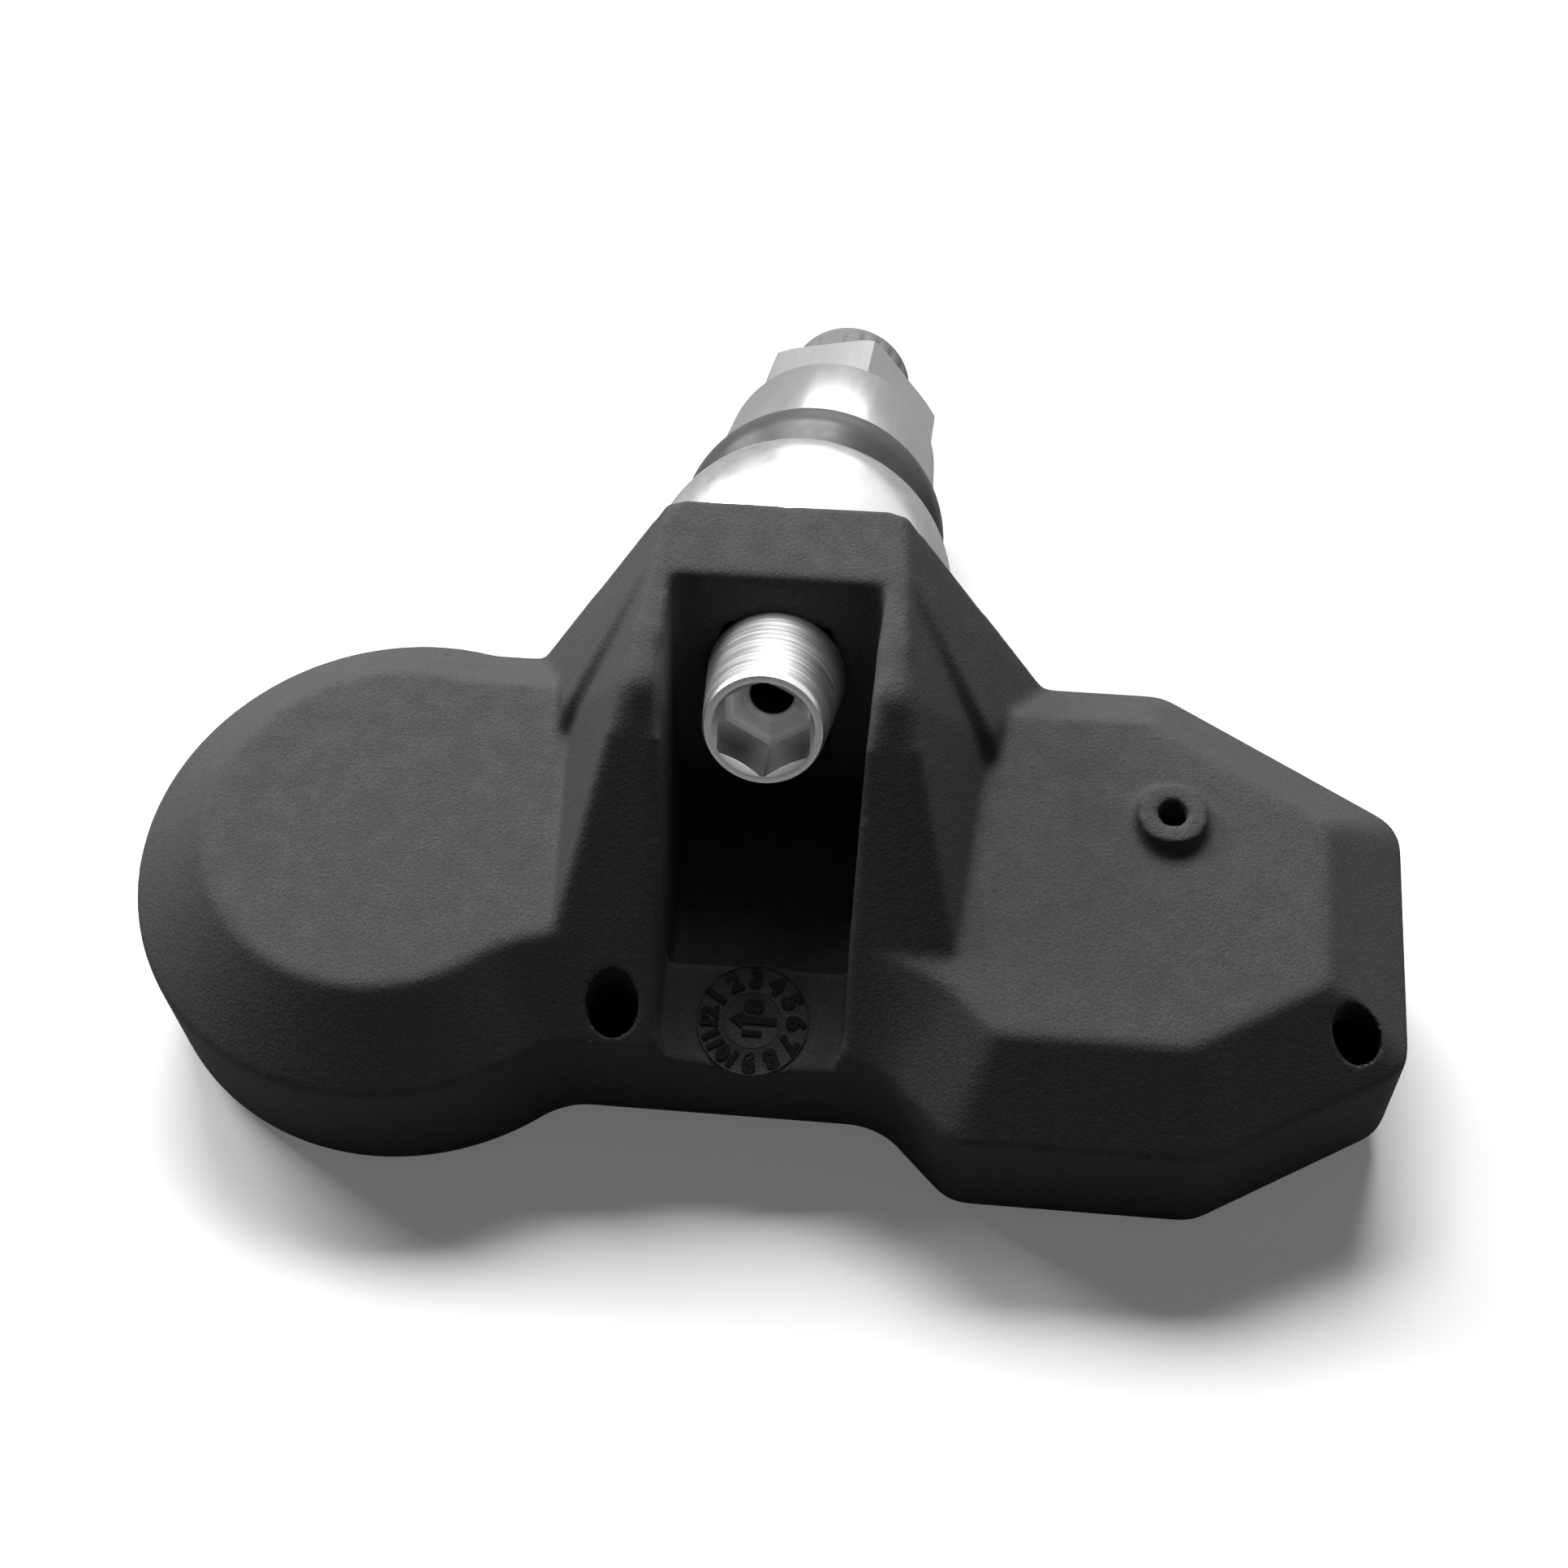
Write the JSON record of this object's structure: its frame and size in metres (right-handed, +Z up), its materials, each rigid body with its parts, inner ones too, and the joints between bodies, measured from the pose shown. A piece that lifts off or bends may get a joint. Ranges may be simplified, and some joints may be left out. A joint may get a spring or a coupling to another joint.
{
  "type": "tyre pressure sensor",
  "caption": "Moulded sensor housing with a battery pod and an electronics pod, swivelling on the ball foot of a clamp-in metal tyre valve with grommet, collar nut and cap.",
  "frame": {"origin": "centre of the bounding box, at the table it lies on", "axes": "+X along the housing towards the electronics pod, +Y away from the driver end towards the valve cap, +Z up from the table"},
  "size_m": [0.072, 0.0698, 0.0274],
  "materials": {
    "body_plastic": "fine-grained matt moulding",
    "cover_plastic": "matt moulding",
    "cell_steel": "plated",
    "cell_seal": "matt",
    "tin_strip": "tinned strip",
    "board": "solder mask",
    "chip": "moulded package",
    "crystal_can": "plated can",
    "ferrite": "sintered",
    "copper_wire": "enamelled wire",
    "ceramic": "fired ceramic",
    "rubber": "moulded rubber",
    "stem_metal": "bright turned",
    "screw_metal": "bright turned, fine grooves",
    "nut_metal": "brushed",
    "brass": "turned",
    "ptfe": "smooth",
    "cap_plastic": "ribbed moulding"
  },
  "bodies": {
    "housing_body": {"housing": "body_plastic", "base_cover": "cover_plastic", "cell_can": "cell_steel", "cell_cap": "cell_steel", "cell_gasket": "cell_seal", "tab_plus": "tin_strip", "tab_minus": "tin_strip", "circuit_board": "board", "pressure_chip": "chip", "port_seal": "rubber", "rf_chip": "chip", "crystal": "crystal_can", "lf_core": "ferrite", "lf_winding": "copper_wire", "antenna": "tin_strip", "capacitors": "ceramic"},
    "valve_body": {"valve_stem": "stem_metal", "hollow_screw": "screw_metal", "grommet": "rubber", "collar_nut": "nut_metal", "core_body": "brass", "core_gasket": "ptfe"},
    "core_pin_body": {"core_pin": "brass", "core_washer": "rubber"},
    "cap_seal_body": {"cap_seal": "rubber"},
    "cap_body": {"valve_cap": "cap_plastic"}
  },
  "joints": [
    {"name": "valve_swing", "type": "hinge", "parent": "housing_body", "child": "valve_body", "pos_m": [0.0004, -0.0024, 0.01705], "axis": [1, 0, 0], "range_deg": [0, 25]},
    {"name": "core_press", "type": "slide", "parent": "valve_body", "child": "core_pin_body", "axis": [0, 0.94, -0.3411], "range_m": [-0.0012, 0], "stiffness_N_per_m": 900, "springref_m": 0.0012},
    {"name": "cap_rise", "type": "slide", "parent": "valve_body", "child": "cap_seal_body", "axis": [0, 0.94, -0.3411], "range_m": [0, 0.00476]},
    {"name": "cap_turn", "type": "hinge", "parent": "cap_seal_body", "child": "cap_body", "pos_m": [0.0004, 0.02768, 0.00614], "axis": [0, 0.94, -0.3411], "range_deg": [0, 2160]}
  ],
  "couplings": [
    {"joint": "cap_turn", "follows": "cap_rise", "rad_per_m": 7913.3}
  ]
}
